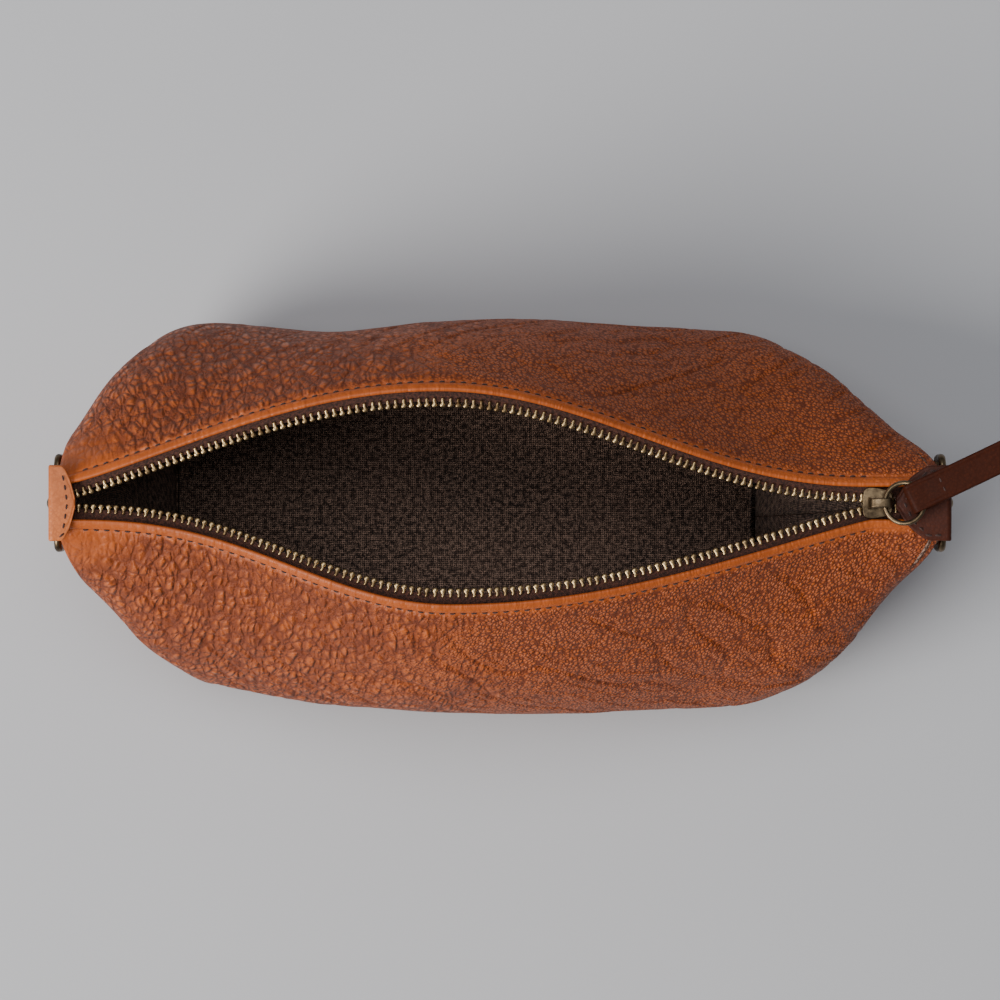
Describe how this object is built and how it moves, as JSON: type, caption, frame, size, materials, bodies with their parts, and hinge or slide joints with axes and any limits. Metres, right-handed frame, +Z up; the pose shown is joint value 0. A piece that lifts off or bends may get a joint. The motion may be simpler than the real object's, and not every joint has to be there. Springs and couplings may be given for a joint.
{
  "type": "shaving kit bag",
  "caption": "Open leather toiletry pouch with a metal zip, end tabs with hanging rings and a strap on the slider.",
  "frame": {"origin": "centre of the base's flat underside", "axes": "+X along the zip towards the slider's open place, +Y towards the back, +Z up"},
  "size_m": [0.3233, 0.1379, 0.124],
  "materials": {
    "tan_leather": "pebbled, semi-matt",
    "tab_leather": "smooth, semi-matt",
    "strap_leather": "smooth, semi-matt",
    "lining": "woven, matt",
    "zip_tape": "woven, matt",
    "brass_teeth": "aged, satin",
    "antique_brass": "dark antique, satin",
    "thread": "waxed thread",
    "board": "matt board"
  },
  "bodies": {
    "root": {"base_panel": "tan_leather", "base_board": "board", "base_lining": "lining", "front_panel": "tan_leather", "back_panel": "tan_leather", "front_lining": "lining", "back_lining": "lining", "front_top_stop": "brass_teeth", "back_top_stop": "brass_teeth", "bottom_stop": "brass_teeth", "front_stitching": "thread", "back_stitching": "thread", "left_tab": "tab_leather", "right_tab": "tab_leather", "left_rivet": "antique_brass", "right_rivet": "antique_brass", "left_tab_stitching": "thread", "right_tab_stitching": "thread"},
    "front_edge": {"front_tape": "zip_tape", "front_teeth": "brass_teeth"},
    "back_edge": {"back_tape": "zip_tape", "back_teeth": "brass_teeth"},
    "slider": {"slider_top": "antique_brass", "slider_bottom": "antique_brass", "slider_bridge": "antique_brass"},
    "pull_ring": {"pull_ring": "antique_brass"},
    "pull_strap": {"pull_strap": "strap_leather", "strap_stitching": "thread"},
    "left_ring": {"left_ring": "antique_brass"},
    "right_ring": {"right_ring": "antique_brass"}
  },
  "joints": [
    {"name": "zip_travel", "type": "slide", "parent": "root", "child": "slider", "axis": [-1, 0, 0], "range_m": [0, 0.261]},
    {"name": "front_edge_draw", "type": "slide", "parent": "root", "child": "front_edge", "axis": [0, 0.8531, -0.5217], "range_m": [0, 0.03259], "deforming": ["front_tape", "front_teeth"]},
    {"name": "back_edge_draw", "type": "slide", "parent": "root", "child": "back_edge", "axis": [0, -0.8788, -0.4773], "range_m": [0, 0.03562], "deforming": ["back_tape", "back_teeth"]},
    {"name": "pull_lift", "type": "hinge", "parent": "slider", "child": "pull_ring", "pos_m": [0.1395, 0.005, 0.107], "axis": [0, -1, 0], "range_deg": [0, 140]},
    {"name": "strap_swing", "type": "hinge", "parent": "pull_ring", "child": "pull_strap", "pos_m": [0.1458, 0.005, 0.10929], "axis": [-0.342, 0, 0.9397], "range_deg": [-70, 20]},
    {"name": "left_ring_swing", "type": "hinge", "parent": "root", "child": "left_ring", "pos_m": [-0.13715, 0.005, 0.086], "axis": [0, 1, 0], "range_deg": [-10, 150]},
    {"name": "right_ring_swing", "type": "hinge", "parent": "root", "child": "right_ring", "pos_m": [0.16115, 0.005, 0.086], "axis": [0, -1, 0], "range_deg": [-10, 150]}
  ],
  "couplings": [
    {"joint": "front_edge_draw", "follows": "zip_travel", "ratio": 0.12484},
    {"joint": "back_edge_draw", "follows": "zip_travel", "ratio": 0.13646}
  ]
}
